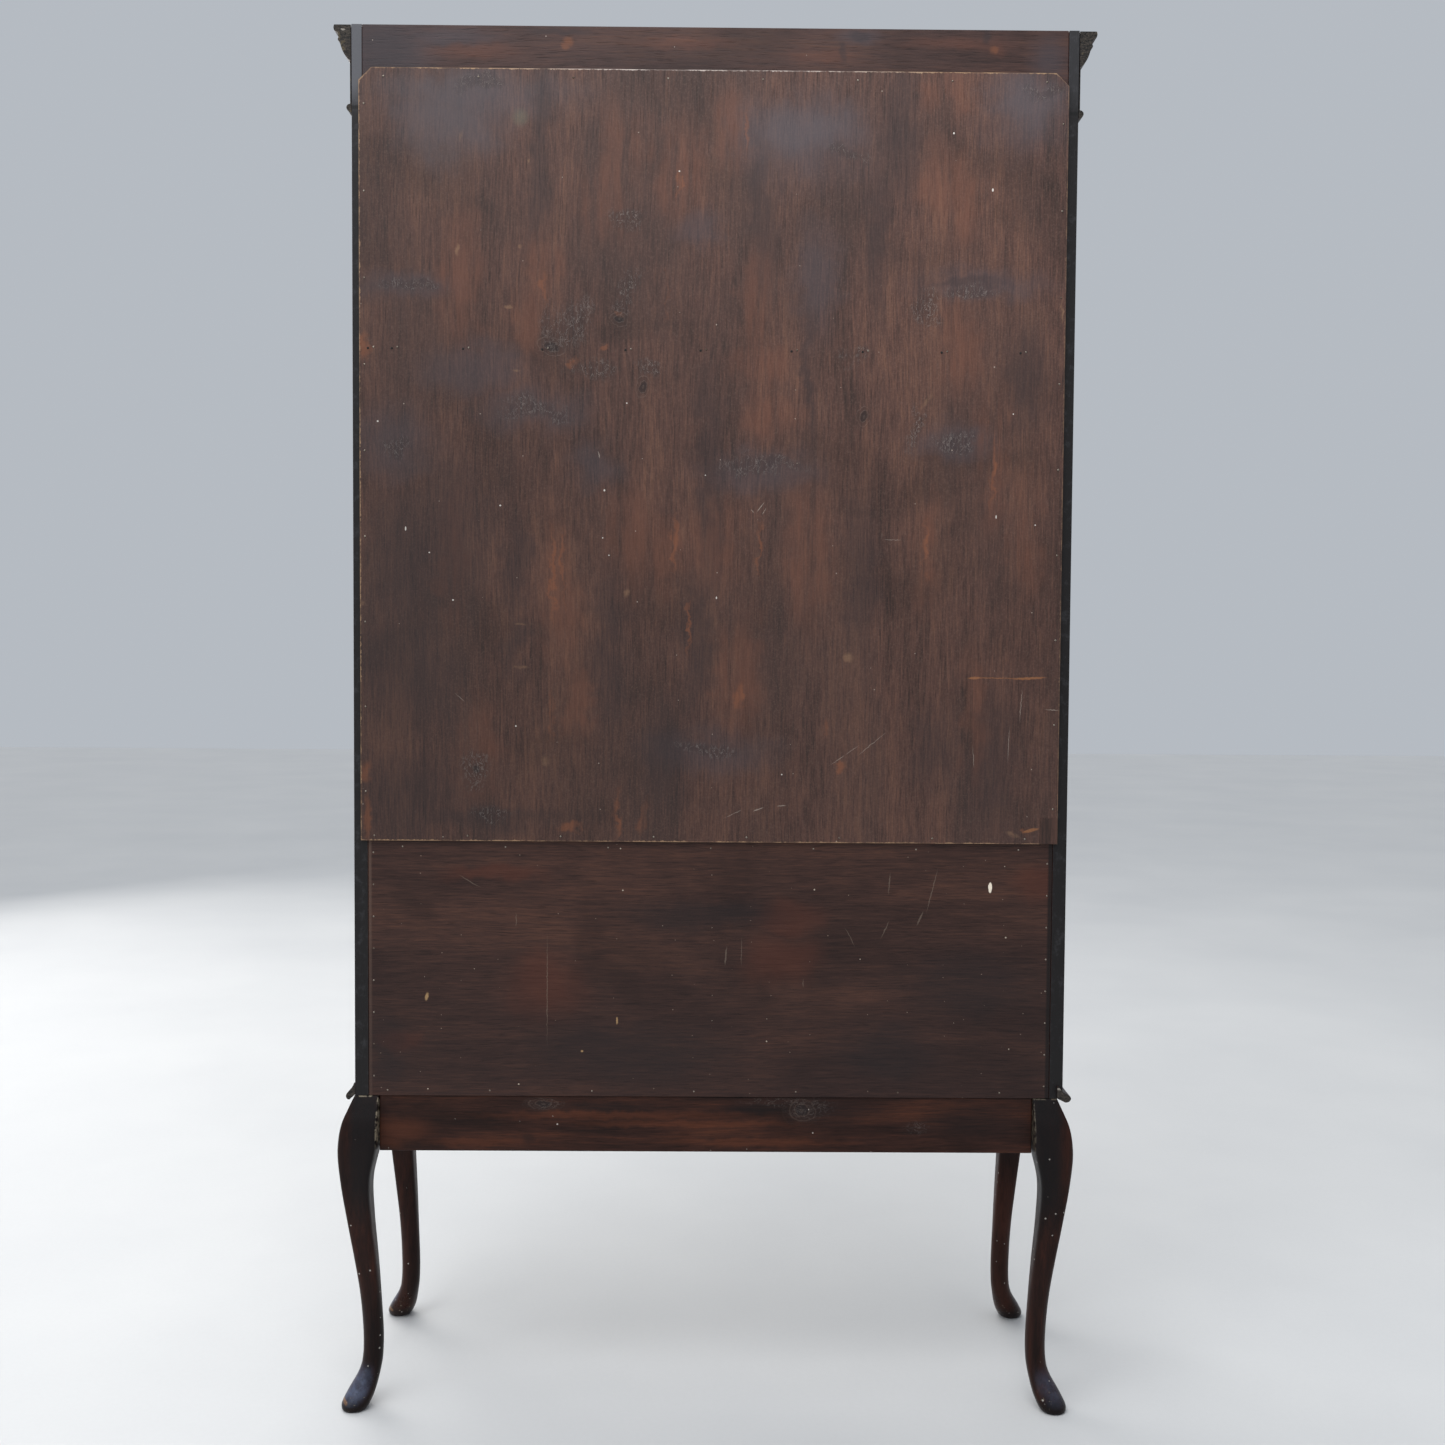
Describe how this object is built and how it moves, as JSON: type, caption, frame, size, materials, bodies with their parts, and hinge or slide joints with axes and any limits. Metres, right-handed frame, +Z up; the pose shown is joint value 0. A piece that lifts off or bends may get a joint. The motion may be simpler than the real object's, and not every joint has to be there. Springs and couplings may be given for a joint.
{
  "type": "curio cabinet",
  "caption": "Tall free-standing display cabinet with glazed doors over a panelled cupboard, on a frame with cabriole legs.",
  "frame": {"origin": "on the floor, under the middle of the object's box", "axes": "+Z up, doors face -Y, plain back faces +Y, +X to the right of someone facing the doors"},
  "size_m": [0.96, 0.3255, 1.77],
  "materials": {
    "show_wood": "satin, dark red-brown stained",
    "leg_wood": "satin, near-black stained",
    "back_wood": "thin stain, mottled, dull",
    "rail_wood": "thin stain, dull",
    "inside_wood": "satin, brown stained",
    "glass": "clear",
    "brass": "aged",
    "steel": "dull"
  },
  "bodies": {
    "carcass": {"side_frame_left": "show_wood", "side_glass_left": "glass", "leg_front_left": "leg_wood", "leg_back_left": "leg_wood", "apron_left": "show_wood", "shelf_peg_front_left": "brass", "shelf_peg_back_left": "brass", "hinge_upper_left_bottom_side_leaf": "brass", "hinge_upper_left_top_side_leaf": "brass", "hinge_lower_left_bottom_side_leaf": "brass", "hinge_lower_left_top_side_leaf": "brass", "side_frame_right": "show_wood", "side_glass_right": "glass", "leg_front_right": "leg_wood", "leg_back_right": "leg_wood", "apron_right": "show_wood", "shelf_peg_front_right": "brass", "shelf_peg_back_right": "brass", "hinge_upper_right_bottom_side_leaf": "brass", "hinge_upper_right_top_side_leaf": "brass", "hinge_lower_right_bottom_side_leaf": "brass", "hinge_lower_right_top_side_leaf": "brass", "apron_front": "show_wood", "apron_back": "rail_wood", "bottom_board": "inside_wood", "middle_board": "show_wood", "frieze_board": "show_wood", "back_top_rail": "rail_wood", "top_board": "inside_wood", "back_panel_upper": "back_wood", "back_panel_lower": "back_wood", "shelf_fixed": "inside_wood", "shelf_loose": "inside_wood", "cornice_moulding": "show_wood", "neck_moulding": "show_wood", "base_moulding": "show_wood"},
    "upper_door_left": {"upper_door_frame_left": "show_wood", "upper_door_bars_left": "show_wood", "upper_door_glass_left": "glass", "hinge_upper_left_bottom_door_leaf": "brass", "hinge_upper_left_top_door_leaf": "brass"},
    "lower_door_left": {"lower_door_frame_left": "show_wood", "lower_door_panel_left": "show_wood", "lower_knob_left": "brass", "hinge_lower_left_bottom_door_leaf": "brass", "hinge_lower_left_top_door_leaf": "brass"},
    "upper_door_right": {"upper_door_frame_right": "show_wood", "upper_door_bars_right": "show_wood", "upper_door_glass_right": "glass", "hinge_upper_right_bottom_door_leaf": "brass", "hinge_upper_right_top_door_leaf": "brass", "upper_lock_case": "steel"},
    "lower_door_right": {"lower_door_frame_right": "show_wood", "lower_door_panel_right": "show_wood", "lower_knob_right": "brass", "hinge_lower_right_bottom_door_leaf": "brass", "hinge_lower_right_top_door_leaf": "brass"},
    "key": {"upper_key": "brass"},
    "lock_bolt": {"upper_lock_bolt": "steel"},
    "slide_bolt": {"upper_slide_bolt": "brass"}
  },
  "joints": [
    {"name": "upper_left_door_hinge", "type": "hinge", "parent": "carcass", "child": "upper_door_left", "pos_m": [-0.439, -0.1394, 1.205], "axis": [0, 0, -1], "range_deg": [0, 105]},
    {"name": "upper_right_door_hinge", "type": "hinge", "parent": "carcass", "child": "upper_door_right", "pos_m": [0.439, -0.1394, 1.205], "axis": [0, 0, 1], "range_deg": [0, 105]},
    {"name": "lower_left_door_hinge", "type": "hinge", "parent": "carcass", "child": "lower_door_left", "pos_m": [-0.439, -0.1394, 0.58], "axis": [0, 0, -1], "range_deg": [0, 105]},
    {"name": "lower_right_door_hinge", "type": "hinge", "parent": "carcass", "child": "lower_door_right", "pos_m": [0.439, -0.1394, 0.58], "axis": [0, 0, 1], "range_deg": [0, 105]},
    {"name": "key_turn", "type": "hinge", "parent": "upper_door_right", "child": "key", "pos_m": [0.021, -0.1207, 1.205], "axis": [0, 1, 0], "range_deg": [0, 90]},
    {"name": "lock_bolt_slide", "type": "slide", "parent": "upper_door_right", "child": "lock_bolt", "axis": [-1, 0, 0], "range_m": [0, 0.007]},
    {"name": "slide_bolt_slide", "type": "slide", "parent": "upper_door_left", "child": "slide_bolt", "axis": [0, 0, -1], "range_m": [0, 0.013]}
  ],
  "couplings": [
    {"joint": "lock_bolt_slide", "follows": "key_turn", "m_per_rad": 0.004456}
  ]
}
